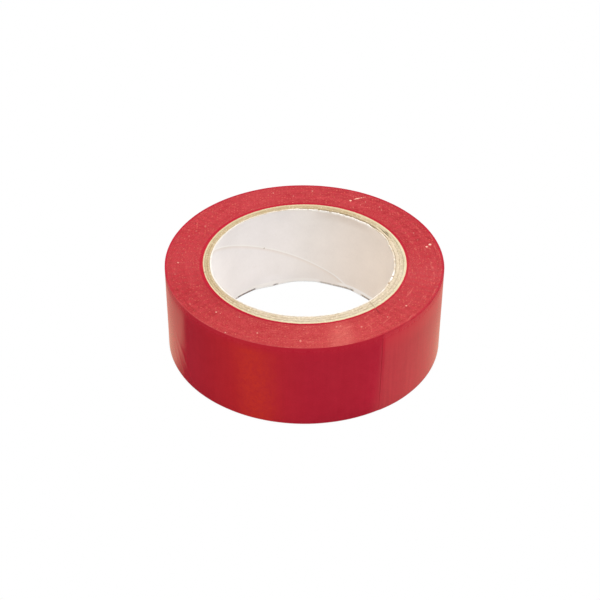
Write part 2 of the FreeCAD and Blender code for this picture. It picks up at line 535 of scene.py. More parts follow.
# ---------------------------------------------------------------- adhesive
def adhesive():
    """Rubber-resin coat: deep red over the film, tacky sheen."""
    mat = Finish("rubber_resin_adhesive")
    place = mat.strip_uv().scaled(TURN_LENGTH, WIDTH, 0.0)
    blotch = mat.noise(place, scale=0.5, detail=4.0, rough=0.6, distortion=0.4)
    grain = mat.noise(place, scale=4.0, rough=0.6)
    lines = mat.noise(place.scaled(0.05, 1.0, 1.0), scale=2.2, detail=4.0, rough=0.65)
    colour = mat.mix((0.360, 0.0090, 0.0170), to=(0.450, 0.0190, 0.0250), by=blotch.rise(0.3, 0.7))
    colour = mat.mix(colour, to=(0.520, 0.0400, 0.0380), by=lines.rise(0.50, 0.75, to=(0.0, 0.35)))
    rough = blotch.line(0.3, 0.7, to=(0.30, 0.46)) + grain.line(0.3, 0.7, to=(-0.03, 0.03))
    height = lines * 0.7 + grain * 0.3
    return mat.done(Base_Color=colour, Roughness=rough, IOR=1.50,
                    Normal=mat.bump(height, distance=0.000018, strength=0.6))


# ---------------------------------------------------------------- liner paper
BORE_PER_DEGREE = 0.3316      # millimetres round the bore in one degree
# the paper's colour across the bore from left to right, with painted shade and painted warm bounce
# light towards +X: share of the way, colour
PAPER_WHITE_AND_SHADE = [
    (0.05, (0.945, 0.933, 0.945)), (0.22, (0.952, 0.942, 0.960)), (0.40, (0.935, 0.920, 0.925)),
    (0.52, (0.912, 0.888, 0.872)), (0.76, (0.885, 0.820, 0.762)), (0.95, (0.880, 0.790, 0.700)),
]
# painted shade on the bottom edge: first angle, last angle, softness, strength
FOOT_SHADE = [
    (47.0, 54.0, 1.2, 0.18), (54.0, 61.5, 1.2, 0.90), (61.5, 70.0, 1.5, 0.62),
    (70.0, 79.0, 1.5, 0.50), (108.0, 111.8, 0.9, 0.75), (139.5, 153.0, 1.5, 0.75),
]


def liner_paper():
    """White calendered liner paper, painted darker and warmer towards +X, where the bore wall is
    shaded.
    """
    mat = Finish("liner_paper_white")
    _, x, y, z, angle = mat.place()
    wall = mat.xyz(angle * BORE_PER_DEGREE, z, 0.0)
    around = (1.0, 0.0, 1.0)      # takes the height out of a texture

    def between(first, last, soft):
        return angle.band(first - soft, first + soft, last - soft, last + soft)

    cloud = mat.noise(wall, scale=0.16, detail=4.0)
    fibre = mat.noise(wall.scaled(1.0, 0.55, 1.0), scale=2.4, detail=5.0, rough=0.68,
                      distortion=0.8)
    fine = mat.noise(wall, scale=9.0, rough=0.6)
    # painted shade: the paper darkens and warms towards +X
    colour = mat.ramp(x.line(-19.0, 19.0), PAPER_WHITE_AND_SHADE)
    shade = cloud.line(0.3, 0.7, to=(0.965, 1.02)) + fibre.line(0.3, 0.7, to=(-0.022, 0.018))
    shade = shade + fine.line(0.3, 0.7, to=(-0.012, 0.012))
    colour = mat.multiply(colour, mat.rgb(shade, shade, shade))
    # painted shadow under the seam, and a painted highlight along its ridge
    above_seam = z - ((angle - LINER_SEAM) * (SEAM_RISE / 360.0) + WIDTH)
    under = above_seam.band(-1.2, -0.25, -0.25, -0.12)
    colour = mat.mix(colour, to=(0.740, 0.640, 0.540), by=under * 0.26)
    ridge = above_seam.band(-0.20, -0.10, 0.08, 0.24) * z.rise(3.0, 9.0, to=(0.62, 0.93))
    colour = mat.mix(colour, to=(0.995, 0.993, 0.990), by=ridge)
    # the nick in the seam
    nick = wall.distance(NICK_ANGLE * BORE_PER_DEGREE, NICK_Z, 0.0)
    nick = nick.rise(0.06, 0.28, to=(1.0, 0.0))
    colour = mat.mix(colour, to=(0.330, 0.280, 0.230), by=nick * 0.60)
    # rubs
    rub = mat.noise(wall.scaled(0.5, 1.3, 1.0), scale=0.8, detail=5.0, rough=0.7)
    colour = mat.mix(colour, to=(0.600, 0.540, 0.480), by=rub.rise(0.60, 0.78) * 0.16)
    # painted shade below the paper's curled lip
    lip_shade = between(46.0, 80.0, 9.0) * z.band(15.8, 17.9, 18.35, 18.7)
    lip_shade = lip_shade * cloud.rise(0.35, 0.65, to=(0.20, 0.34))
    colour = mat.mix(colour, to=(0.500, 0.400, 0.310), by=lip_shade)
    # top cut edge: open pulp, part white and part stained like the board
    pulp = mat.noise(wall.scaled(1.0, 0.4, 1.0), scale=1.1, detail=5.0, rough=0.75)
    aside = x.rise(-14.0, -6.0, to=(0.8, 0.0)).max(y.rise(-15.0, -7.0, to=(0.85, 0.0)))
    white = mat.mix((0.775, 0.745, 0.710), to=(0.760, 0.705, 0.630),
                    by=x.min(y).rise(-14.0, -6.0))
    pulp = mat.mix((0.640, 0.530, 0.390), to=white, by=pulp.rise(0.40, 0.62).max(aside))
    colour = mat.mix(colour, to=pulp, by=z.rise(WIDTH - 0.22, WIDTH - 0.07))
    # the curled lip at the back is pale
    tufts = mat.noise(wall.scaled(*around), scale=0.8, rough=0.6)
    curl = between(40.0, 101.0, 7.0) * tufts.rise(0.40, 0.54, to=(0.15, 1.0))
    curl = curl * z.rise(WIDTH - 0.55, WIDTH - 0.30)
    colour = mat.mix(colour, to=(0.955, 0.930, 0.885), by=curl * 0.92)
    # a painted highlight on one stretch of the edge on the right, with two brown spots
    gleam = between(-21.0, -12.5, 1.8) * z.rise(WIDTH - 0.42, WIDTH - 0.22)
    colour = mat.mix(colour, to=(0.985, 0.975, 0.955), by=gleam * 0.92)
    for spot_angle in (-24.0, -16.5):
        spot = wall.distance(spot_angle * BORE_PER_DEGREE, 18.95, 0.0)
        colour = mat.mix(colour, to=(0.330, 0.180, 0.070),
                         by=spot.rise(0.14, 0.36, to=(0.75, 0.0)))
    # painted shade: the bottom edge is dark in places, standing in for the contact shadow and the
    # dark gap under the lifted paper
    foot_shade = between(39.0, 47.0, 1.2) * 0.80
    for first, last, soft, strength in FOOT_SHADE:
        foot_shade = foot_shade.max(between(first, last, soft) * strength)
    patches = mat.noise(wall, scale=0.55, detail=4.0, rough=0.65)
    foot_shade = foot_shade * patches.rise(0.34, 0.50, to=(0.60, 1.0))
    foot_shade = foot_shade.max(between(124.6, 139.5, 0.7))
    breaks = mat.noise(wall.scaled(*around), scale=1.9, detail=4.0, rough=0.7)
    foot_shade = foot_shade * breaks.rise(0.36, 0.52, to=(0.45, 1.0))
    foot_shade = z.fall(0.30, 0.58) * foot_shade
    brown = mat.mix((0.060, 0.046, 0.036), to=(0.200, 0.130, 0.080),
                    by=mat.noise(wall, scale=1.6, rough=0.6).rise(0.42, 0.58))
    colour = mat.mix(colour, to=brown, by=foot_shade)
    # painted highlight: bright paper above the painted shade, and down to the edge between its dark
    # stretches, where the flared edge catches the light
    bright = between(31.0, 66.0, 3.0).max(between(108.0, 140.0, 3.0))
    bright = bright * z.band(0.42, 0.66, 0.92, 1.20)
    lit_stretches = between(112.5, 123.6, 1.0).max(between(47.5, 53.5, 1.0))
    bright = bright.max(between(79.5, 107.5, 2.0).max(lit_stretches) * z.fall(0.55, 1.05))
    colour = mat.mix(colour, to=(0.990, 0.985, 0.975), by=bright * 0.85)
    height = fibre * 0.7 + fine * 0.3
    return mat.done(Base_Color=colour, Roughness=cloud.line(0.3, 0.7, to=(0.62, 0.74)), IOR=1.45,
                    Specular_IOR_Level=0.35,
                    Normal=mat.bump(height, distance=0.000040, strength=0.55))


# ---------------------------------------------------------------- paperboard
def board(name, pale, mid, deep, texture_shift, skin=None):
    """Grey-tan paperboard: fibres run round the ply, cut edges are open and soft."""
    mat = Finish(name)
    place, x, y, z, angle = mat.place()
    radius = place.scaled(1.0, 1.0, 0.0).length()
    polar = mat.xyz(angle * 0.35, radius * 1.0, z + texture_shift)
    fibre = mat.noise(polar.scaled(0.8, 6.0, 1.6), scale=1.6, detail=5.0, rough=0.7,
                      distortion=0.5)
    fleck = mat.noise(polar, scale=3.5, detail=4.0, rough=0.7)
    cloud = mat.noise(polar, scale=0.20)
    fine = mat.noise(polar, scale=7.0, rough=0.65)
    colour = mat.mix(deep, to=mid, by=fibre.rise(0.32, 0.66))
    colour = mat.mix(colour, to=pale, by=fleck.rise(0.45, 0.72, to=(0.0, 0.7)))
    colour = mat.mix(colour, to=pale, by=cloud.rise(0.35, 0.65, to=(0.0, 0.25)))
    colour = mat.mix(colour, to=deep, by=fine.rise(0.50, 0.68) * 0.55)
    # duller towards the back and the left
    side = x * 0.030 + y * -0.030
    tint = mat.mix((0.700, 0.715, 0.675), to=(0.860, 0.960, 1.130), by=side.rise(-0.35, 0.55))
    colour = mat.multiply(colour, tint)
    # a dark soft layer inside
    wander = radius + cloud.line(0.3, 0.7, to=(-0.10, 0.10))
    layer = wander.band(19.48, 19.66, 19.80, 20.06)
    broken = mat.noise(polar, scale=0.9, detail=4.0, rough=0.7)
    layer = layer * broken.rise(0.40, 0.70, to=(0.05, 0.75))
    layer = layer * side.rise(-0.20, 0.60, to=(1.0, 0.30))
    colour = mat.mix(colour, to=(0.400, 0.295, 0.170), by=layer)
    # greyer and open on the right, where the plies have parted
    parted = angle.band(-16.0, -2.0, 38.0, 50.0) * wander.band(19.46, 19.66, 20.10, 20.36)
    broken = mat.noise(polar, scale=1.3, detail=4.0, rough=0.7)
    parted = parted * broken.rise(0.36, 0.62, to=(0.22, 0.55))
    colour = mat.mix(colour, to=(0.430, 0.370, 0.235), by=parted)
    # olive flecks and pale crumbs of loose pulp
    crumb = mat.noise(polar, scale=2.1, detail=4.0, rough=0.75)
    colour = mat.mix(colour, to=(0.400, 0.340, 0.175), by=crumb.rise(0.52, 0.64, to=(0.0, 0.42)))
    colour = mat.mix(colour, to=(0.830, 0.760, 0.570), by=crumb.rise(0.47, 0.36, to=(0.0, 0.50)))
    # painted shade in an oval hollow where the plies have parted: middle and half-size, in degrees
    # and in millimetres
    hollow_shade = ((angle - 30.3) / 2.3) ** 2.0 + ((radius - 19.94) / 0.18) ** 2.0
    colour = mat.mix(colour, to=(0.130, 0.095, 0.050), by=hollow_shade.rise(0.15, 1.3, to=(0.80, 0.0)))
    if skin is not None:
        depth = radius + side.rise(-0.2, 0.3, to=(0.0, -0.17))
        depth = depth + cloud.line(0.3, 0.7, to=(-0.06, 0.06))
        colour = mat.mix(colour, to=skin,
                         by=depth.rise(20.08, 20.28) * side.rise(-0.30, 0.45, to=(0.55, 0.70)))
        # the board's outer face is drawn red next to the tape
        limit = x.line(-20.0, 18.0, to=(-0.12, 0.07)) + y.line(-18.0, -8.0, to=(0.07, 0.0))
        red_band = radius + fleck.line(0.3, 0.7, to=(-0.035, 0.035)) - limit
        colour = mat.mix(colour, to=(0.460, 0.0090, 0.0240), by=red_band.rise(20.54, 20.70))
    # painted shade in the crease across the cut edge
    crease = from_crease(angle, radius).rise(0.15, 0.55, to=(1.0, 0.0)) * 0.60
    colour = mat.mix(colour, to=(0.300, 0.215, 0.130), by=crease)
    height = fibre * 0.6 + fleck * 0.4
    return mat.done(Base_Color=colour, Roughness=fleck.line(0.3, 0.7, to=(0.82, 0.95)), IOR=1.45,
                    Specular_IOR_Level=0.2,
                    Normal=mat.bump(height, distance=0.000110, strength=0.8))


FACE, EDGE, GLUE, PAPER = film_side(), film_edge(), adhesive(), liner_paper()
BOARD = board("paperboard_ply", pale=(0.820, 0.660, 0.455), mid=(0.730, 0.545, 0.345),
              deep=(0.560, 0.395, 0.235), texture_shift=0.0)
BOARD_OUT = board("paperboard_outer_ply", pale=(0.800, 0.660, 0.440), mid=(0.720, 0.560, 0.345),
                  deep=(0.560, 0.430, 0.250), texture_shift=7.0, skin=(0.640, 0.580, 0.375))


# ---------------------------------------------------------------- wound turns
turn_step = np.random.default_rng(11).normal(0.0, 1.0, 80)
edge_drift = Field(12, 900)
edge_fine = Field(13, 6000)


def edge_wobble(wind, top):
    """Each turn's edges sit a little higher or lower than the next one's, and wander slowly."""
    turn = (np.asarray(wind, float) + 360.0 * 60) / 360.0
    i = np.floor(turn).astype(int)
    part = turn - i
    part = part * part * (3 - 2 * part)
    steps = turn_step if top else turn_step[::-1]
    step = steps[i % 80] * (1 - part) + steps[(i + 1) % 80] * part
    along = turn / 60.0 + (0.0 if top else 0.37)
    return 0.009 * step + 0.006 * edge_drift(along) + 0.004 * edge_fine(along)


def slit_edge(name, wind, top):
    """The slit edge of every wound turn: one long ribbon, bevelled at both corners."""
    crest = Z_CREST - edge_wobble(wind, top)
    offset = np.array([-FILM, -FILM + BEVEL, -BEVEL, 0.0])
    shoulder = np.full_like(wind, Z_SHOULDER)
    outer_crest = crest + 0.002 * np.sin(np.radians(wind * 7))
    depth = np.stack([shoulder, crest, outer_crest, shoulder], -1)
    return strip_object(name, wind[:, None], offset, WIDTH - depth if top else depth, [EDGE],
                        closed=False, flip=not top, sharp=60.0)


half_cut = math.degrees(0.04 / OUTER_R) / 2.0     # half the small gap between lengths of strip
face_from = FACE_START + half_cut
wound = np.append(np.arange(START, FACE_START - half_cut, 2.0), FACE_START - half_cut)
step = 1

for name, top in (("wound_film_top_edge", True), ("wound_film_bottom_edge", False)):
    on_roll(slit_edge(name, wound[::step], top), "wound_film")
for name, outside, inside, margin, mat, node, slot in (
        ("wound_film_web", 0.0, -FILM, Z_SHOULDER, FACE, "wound_film", "tape_film"),
        ("wound_adhesive_layer", -FILM, -PITCH, GLUE_IN, GLUE, "wound_adhesive",
         "tape_adhesive")):
    layer = strip_object(name, wound[::2, None], np.array([outside, outside, inside, inside]),
                         np.array([margin, WIDTH - margin, WIDTH - margin, margin]), [mat],
                         slots=0, cut=(True, True))
    on_roll(layer, node)


# ---------------------------------------------------------------- the outer face
sag = Field(21, 34, 4)
ripple = Field(22, 150, 5)
fine_streak = Field(23, 620, 3)
pebble = Field(24, 420, 44)
rim_bump = Field(25, 240, 2)

# ridges in the face: polar angle and height of the start and of the end, width, height
WRINKLES = [
    (-152.0, 8.6, -144.5, 3.6, 0.3, 0.0608), (-150.5, 6.6, -142.0, 1.8, 0.26, 0.0507),
    (-155.5, 9.8, -149.0, 5.6, 0.34, 0.0437), (-147.5, 3.6, -140.0, 0.2, 0.26, 0.0437),
    (-157.0, 7.4, -151.5, 3.8, 0.3, 0.0359), (-154.0, 4.6, -147.0, 0.6, 0.28, 0.039),
    (-143.0, 5.0, -139.0, 2.6, 0.22, 0.0218), (-160.0, 5.4, -155.0, 1.6, 0.3, 0.0265),
]


def wrinkle(theta, z, theta_from, z_from, theta_to, z_to, width, height):
    """A slightly bent ridge that fades at both ends."""
    per_degree = math.radians(1.0) * WOUND_R
    from_x = theta_from * per_degree
    run_x, run_y = theta_to * per_degree - from_x, z_to - z_from
    x, y = theta * per_degree - from_x, z - z_from
    length = math.hypot(run_x, run_y)
    share = (x * run_x + y * run_y) / length / length
    aside = (x * run_y - y * run_x) / length
    bend = 0.25 * np.sin(share * math.pi)
    return height * np.exp(-((aside + bend) / width) ** 2) * hump(share, -0.05, 0.3, 0.7, 1.05)


def face_relief(wind, z):
    """How far the strip's outer face stands from the true spiral."""
    theta = wrap(90.0 - wind)
    place = wind / 360.0, z / WIDTH
    relief = 0.011 * sag(*place) + 0.0030 * ripple(*place)
    relief = relief + 0.0007 * fine_streak(*place) + 0.0006 * pebble(*place)
    for ridge in WRINKLES:
        relief = relief + np.where(wind < ROOT, wrinkle(theta, z, *ridge), 0.0)
    return relief


def face_rows(low, high, count):
    """Heights up the face, closer together near both slit corners."""
    part = np.linspace(0.0, 1.0, count)
    wave = np.cos(math.pi * part)
    part = 0.5 - 0.5 * wave * (0.35 + 0.65 * np.abs(wave) ** 0.5)
    part = (part - part[0]) / (part[-1] - part[0])
    return low + (high - low) * part


ROWS, INNER_ROWS = 46, 6
heights = face_rows(Z_SHOULDER, WIDTH - Z_SHOULDER, ROWS)
# material slot of each column of the film's section: 0 on its faces, 1 on its slit edges
FILM_SLOTS = np.zeros(ROWS + INNER_ROWS + 4, int)
FILM_SLOTS[ROWS - 1:ROWS + 2] = 1
FILM_SLOTS[ROWS + 2 + INNER_ROWS - 1:] = 1


def film_section(wind):
    """Offsets and heights of the section: outer face up, slit edge, inner face down, edge."""
    count = len(wind)
    relief = face_relief(wind[:, None], heights)
    top_z = WIDTH - Z_CREST + edge_wobble(wind, True)
    low_z = Z_CREST - edge_wobble(wind, False)
    inner_corner = np.full(count, -FILM + BEVEL)
    inner_z = np.linspace(WIDTH - Z_SHOULDER, Z_SHOULDER, INNER_ROWS)
    offset = np.concatenate([
        relief, np.stack([relief[:, -1] - BEVEL, inner_corner], -1),
        np.full((count, INNER_ROWS), -FILM),
        np.stack([inner_corner, relief[:, 0] - BEVEL], -1)], -1)
    z = np.concatenate([
        np.tile(heights, (count, 1)), np.stack([top_z, top_z], -1),
        np.tile(inner_z, (count, 1)), np.stack([low_z, low_z], -1)], -1)
    return offset, z


def glue_section():
    """Offsets and heights of the adhesive's section, with 8 points on each face."""
    z = np.linspace(GLUE_IN, WIDTH - GLUE_IN, 8)
    return np.repeat([-FILM, -PITCH], 8), np.concatenate([z, z[::-1]])


def angles(first, last, step, dense=None):
    """Angles from first to last, with hair-thin end strips. dense is (low, high, finer step)."""
    at = first + 0.02
    out = [first, at]
    while at < last - 0.02 - 1e-9:
        fine = dense is not None and dense[0] <= at < dense[1]
        at = min(at + (dense[2] if fine else step), last - 0.02)
        out.append(at)
    return np.array(out + [last])


# the face runs on into the free end with no gap
face_wind = angles(face_from, ROOT - 0.0005, 0.75, dense=(-134.0, -108.0, 0.25))
on_roll(strip_object("outer_wrap_film_skin", face_wind[:, None], *film_section(face_wind),
                     [FACE, EDGE], slots=FILM_SLOTS, cut=(True, True), cut_slot=1),
        "outer_wrap_film")

under_wind = angles(face_from, ROOT - half_cut, 1.5)
on_roll(strip_object("outer_wrap_adhesive_layer", under_wind[:, None], *glue_section(), [GLUE],
                     slots=0, cut=(True, True)),
        "outer_wrap_adhesive")


# ---------------------------------------------------------------- the free end
tear = Field(31, 90, 2)


def end_shift(z):
    """How much further the cut end reaches, in degrees: the cut is slightly out of square."""
    return -0.28 * (z - 9.5) / 9.5 + 0.05 * tear(z / WIDTH * 0.9)


def free_lift(wind, z):
    """How far the free end stands off the turn below, measured from WOUND_R."""
    tip = np.clip((wind - (CUT_END - 9.0)) / 9.0, 0.0, 1.2)
    corner = smooth(z, 14.0, 19.0) * np.clip((wind - (CUT_END - 12.0)) / 12.0, 0.0, 1.2)
    bumps = rim_bump(wind / 60.0, 0.5) * smooth(z, 17.4, 18.9)
    bumps = bumps * hump(wind, CUT_END - 13.0, CUT_END - 10.0, CUT_END - 1.5, CUT_END)
    press = smooth(wind, CUT_END - 1.3, CUT_END)
    lift = LIFT * smooth(wind, ROOT, ROOT + 3.0)
    return lift + 0.006 * tip ** 2 + 0.004 * corner ** 2 + 0.006 * bumps - 0.022 * press


def attach_tail(obj, index, node):
    """Hides the free end's lengths that a bend stands in for; only the last bend is attached, to
    the last length.
    """
    if index == SEGMENTS:
        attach(obj, "tail_%02d" % SEGMENTS)
        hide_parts(node % SEGMENTS)
    elif index == 0:
        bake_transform(obj)
        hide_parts(node % 1)
    else:
        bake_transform(obj)
        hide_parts(node % index, node % (index + 1))


def tail_piece(index):
    """Film and adhesive of one bend of the free end. Index 0 is at the root."""
    last = index == SEGMENTS
    first_wind = ROOT if index == 0 else ROOT + (index - 0.5) * SEGMENT
    last_wind = CUT_END if last else ROOT + (index + 0.5) * SEGMENT
    wind = angles(first_wind, last_wind, 0.5)
    column = wind[:, None]

    def stretch(z):
        """Winding angles that follow the slanted cut in the last piece."""
        if not last:
            return column
        return column + end_shift(z) * smooth(column, first_wind, last_wind)

    offset, z = film_section(wind)
    # the end is drawn thin, so that it blends into the turn below
    thin = 1.0 - 0.86 * smooth(column, CUT_END - 11.0, CUT_END)
    offset = -FILM + (offset + FILM) * thin + free_lift(column, z)
    film = strip_object("free_end_film_%02d" % index, stretch(z), offset, z, [FACE, EDGE],
                        slots=FILM_SLOTS, cut=(False, last))

    glue_offset, glue_z = glue_section()
    glue_wind = stretch(glue_z)
    if last:
        glue_wind = glue_wind - 0.02 * smooth(glue_wind, first_wind, last_wind)
    glue = strip_object("free_end_adhesive_%02d" % index, glue_wind,
                        glue_offset + free_lift(column, glue_z), glue_z, [GLUE],
                        cut=(False, last))
    attach_tail(film, index, "tail_film_%02d")
    attach_tail(glue, index, "tail_adhesive_%02d")


for i in range(SEGMENTS + 1):
    tail_piece(i)


# ---------------------------------------------------------------- the core
swell_noise = Field(41, 46, 2)
fray = Field(42, 260, 2)
fray_fine = Field(43, 1100, 2)
cockle = Field(44, 26, 5)
ply_edge = [Field(50 + i, 900, 3) for i in range(4)]
ply_slow = [Field(60 + i, 60, 3) for i in range(4)]

# how far the liner stands in from the bore at the bottom cut edge: polar angle, millimetres
FOOT_IN = [
    (-180, 0.20), (-140, 0.12), (-90, 0.18), (-40, 0.24), (0, 0.34), (25, 0.52), (43, 0.72),
    (49, 0.74), (55, 0.57), (59, 0.58), (64, 0.76), (69, 0.84), (73, 0.72), (78, 0.62),
    (82, 0.38), (88, 0.42), (94, 0.40), (99, 0.50), (104, 0.68), (108, 0.82), (113.5, 0.90),
    (118, 0.68), (122.2, 0.46), (124.2, 0.27), (129, 0.28), (138, 0.15), (152, 0.12),
    (180, 0.20),
]
LINER_PUSH = 0.78     # inward shift of the liner's bore face where the push is 1


def swell(theta, z):
    """The knife has pushed the core's top edge inwards on the front and right, from 0 to 1."""
    around = hump(wrap(theta + 55.0), -112.0, -50.0, 72.0, 84.0)
    noise = 0.96 + 0.04 * swell_noise(theta / 360.0)
    return (0.20 + 0.80 * around) * smooth(z, 15.6, 18.9) * noise


def foot_in(theta, z):
    at, shift = zip(*FOOT_IN)
    return np.interp(wrap(theta), at, shift) / LINER_PUSH * (1.0 - smooth(z, 0.1, 2.4))


def liner_shape(theta, part, z, near_top, near_bottom):
    """Outward and upward shifts of the liner alone. part runs from 0 to 1 round from the seam."""
    polar, turn = wrap(theta), theta / 360.0
    # the liner has come away from the board on the right, and hangs in a ragged lip
    lip = hump(polar, -30.0, -10.0, 24.0, 31.0) * smooth(z, 14.5, 18.6)
    slot = hump(polar, 22.0, 26.5, 29.5, 33.0) * smooth(z, 16.5, 18.6)
    out = -0.06 * lip - 0.05 * slot
    back = hump(polar, 22.0, 32.0, 84.0, 112.0)
    torn = np.clip(0.55 * fray(turn) + 0.45 * fray_fine(turn), -1, 1)
    rise = near_top * (0.050 + 0.05 * back + 0.10 * lip) * torn
    out = out - near_top * back * 0.10 * (0.5 + 0.5 * fray(turn + 0.31))
    # at the back the paper curls away from the board
    curl = hump(polar, 31.0, 42.0, 72.0, 104.0) * smooth(z, 17.2, 18.8)
    out = out - curl * (0.24 + 0.11 * fray(turn + 0.52))
    rise = rise - 0.05 * curl
    # light cockling of the inner face, and the two lifted edges of its seam
    out = out + 0.022 * cockle(turn, z / WIDTH) * hump(z, 0.0, 2.0, 17.0, 19.0)
    from_seam = np.minimum(part, 1 - part) * 360.0 * math.radians(1.0) * BORE_R
    out = out - (0.0255 * np.exp(-from_seam / 0.35) + 0.006 * np.exp(-from_seam / 1.2))
    # a small nick in the seam
    nick = np.exp(-((wrap(theta - NICK_ANGLE) / 1.2) ** 2))
    out = out - 0.06 * nick * np.exp(-((z - NICK_Z) / 0.35) ** 2)
    # the bottom edge is lifted, more so in places at the back
    places = smooth(fray(turn + 0.7), 0.0, 0.8) * hump(polar, 55.0, 66.0, 112.0, 124.0)
    return out, rise + near_bottom * (0.05 + 0.05 * places)


def first_turn_radius(theta):
    """Radius of the adhesive's inner face on the innermost turn of tape."""
    start = WOUND_R + START / 180.0 * PITCH / 2.0 - PITCH
    polar = wrap(theta)
    off_centre = PITCH / 4.0 * np.sin(np.radians(polar))
    return np.where(np.abs(polar) > 90.0, start + off_centre, start + PITCH / 2.0 - off_centre)


def side_rows(count):
    inner = np.linspace(0.6, 18.2, count - 8)
    rows = [[CORE_BEVEL, 0.2, 0.38], inner, [18.4, 18.6, 18.8, WIDTH - CORE_BEVEL]]
    return np.unique(np.round(np.concatenate(rows), 5))


def ply_points(order, r_in, r_out, seam_top, gap, push, steps, rows, ragged):
    """Sections round a ply: outer side up, crown, inner side down, crown."""
    thick = r_out - r_in
    across = thick * np.array([0.14, 0.38, 0.62, 0.86])
    crown = np.array([0.045, 0.075, 0.075, 0.045])
    radius = np.concatenate([np.full(len(rows), r_out), r_out - across,
                             np.full(len(rows), r_in), r_in + across])
    z = np.concatenate([rows, WIDTH - CORE_BEVEL + crown - 0.01,
                        rows[::-1], CORE_BEVEL - crown + 0.01])
    gap_angle = math.degrees(gap / r_in)
    part = np.linspace(0.0, 1.0, steps)[:, None]
    seam = seam_top - (WIDTH - z) / SEAM_RISE * 360.0
    theta = seam + gap_angle / 2 + part * (360.0 - gap_angle)
    share = (radius - r_in) / thick
    near_top, near_bottom = smooth(z, 18.2, 18.93), 1.0 - smooth(z, 0.07, 0.6)
    edge = ply_edge[order](theta / 360.0, share)
    slow = ply_slow[order](theta / 360.0, share)
    rise = near_top * (ragged * edge + 0.018 * slow) + near_bottom * (0.6 * ragged * np.abs(edge))
    out = -(push[0] * (1 - share) + push[1] * share) * (swell(theta, z) + foot_in(theta, z))
    roughness = 0.010 if order == 0 else 0.018
    out = out + ((near_top + near_bottom) * roughness
                 * ply_edge[(order + 1) % 4](theta / 360.0 + 0.13, 0.5))
    if order <= 1:
        # the liner and the inner ply have parted from the middle one here
        out = out - 0.19 * hump(wrap(theta), 24.0, 29.5, 32.0, 38.0) * smooth(z, 16.5, 18.7)
    if order == 0:
        liner_out, liner_rise = liner_shape(theta, part, z, near_top, near_bottom)
        out, rise = out + liner_out, rise + liner_rise
    if order == 3:
        # the outer ply fills up to the first turn of tape
        out = out + share * (first_turn_radius(theta) - r_out - 0.012)
    # a crease across the cut edge
    from_line = wrap(theta + 47.3 + 0.83 * (radius - 19.5))
    rise = rise - 0.075 * np.exp(-((from_line / 0.45) ** 2)) * near_top
    polar = np.radians(theta)
    radius = radius + out
    points = np.stack([radius * np.cos(polar), radius * np.sin(polar), z + rise], -1)
    return points.reshape(-1, 3)


def ply_faces(steps, side, crown=4):
    """Faces of a ply with side points up each side, and the walls of its seam."""
    size = 2 * (side + crown)
    faces = loop_faces(steps, size).tolist()
    inner = range(2 * side + crown - 1, side + crown - 1, -1)
    wall = [[j, j + 1, inner[j + 1], inner[j]] for j in range(side - 1)]
    wall.append(list(range(side - 1, side + crown + 1)))
    wall.append(list(range(2 * side + crown - 1, size)) + [0])
    for face in wall:
        faces.append(face[::-1])
    for face in wall:
        faces.append([(steps - 1) * size + k for k in face])
    return faces


def fibres(seed, count, radius, zone, reach, thick):
    """Loose paper fibres on the top cut edge: thin tapering tubes rooted in the ply."""
    rng = np.random.default_rng(seed)
    sections, sides = 7, 4
    points, faces = [], []
    for _ in range(count):
        theta = math.radians(rng.uniform(*zone))
        root = radius + rng.uniform(-0.08, 0.05)
        point = np.array([root * math.cos(theta), root * math.sin(theta), WIDTH - 0.05])
        inward = -np.array([math.cos(theta), math.sin(theta), 0.0])
        tangent = np.array([-math.sin(theta), math.cos(theta), 0.0])
        heading = inward * rng.uniform(0.1, 0.9) + tangent * rng.uniform(-1.0, 1.0)
        heading = heading + np.array([0, 0, rng.uniform(-0.2, 0.45)])
        curl = rng.normal(0.0, 0.9, 3)
        length = rng.uniform(0.3, 1.0) * reach
        heading = heading / np.linalg.norm(heading)
        first = len(points)
        for i in range(sections):
            across = np.cross(heading, [0.31, 0.22, 0.93])
            across /= np.linalg.norm(across)
            other = np.cross(heading, across)
            size = thick * (1.0 - 0.8 * i / (sections - 1))
            for k in range(sides):
                turn = 2 * math.pi * k / sides
                points.append(point + size * (math.cos(turn) * across + math.sin(turn) * other))
            point = point + heading * length / (sections - 1)
            heading = heading + curl / (sections - 1)
            heading /= np.linalg.norm(heading)
        faces += (first + loop_faces(sections, sides)).tolist()
        faces.append([first + (sections - 1) * sides + k for k in range(sides)])
        faces.append([first + k for k in range(sides)][::-1])
    return points, faces


def ply(node, name, order, seam_top, gap, mat, push, ragged, steps=500, rows=42, tufts=()):
    """One spirally wound ply with its butt seam, crowned and fibrous at both cut edges.
    order counts outwards from the liner; push is the inward shift of its inner and outer sides."""
    if order == 0:
        r_in, r_out = BORE_R, BORE_R + LINER
    else:
        pasted = BORE_R + LINER + order * PASTE
        r_in, r_out = pasted + (order - 1) * PLY, pasted + order * PLY
    rows = side_rows(rows)
    points = ply_points(order, r_in, r_out, seam_top, gap, push, steps, rows, ragged).tolist()
    faces = ply_faces(steps, len(rows))
    for tuft in tufts:
        tuft_points, tuft_faces = fibres(*tuft)
        base = len(points)
        points += [list(point) for point in tuft_points]
        faces += [[base + k for k in face] for face in tuft_faces]
    on_roll(make_object(name, points, faces, [mat], [0] * len(faces), sharp=50.0), node)


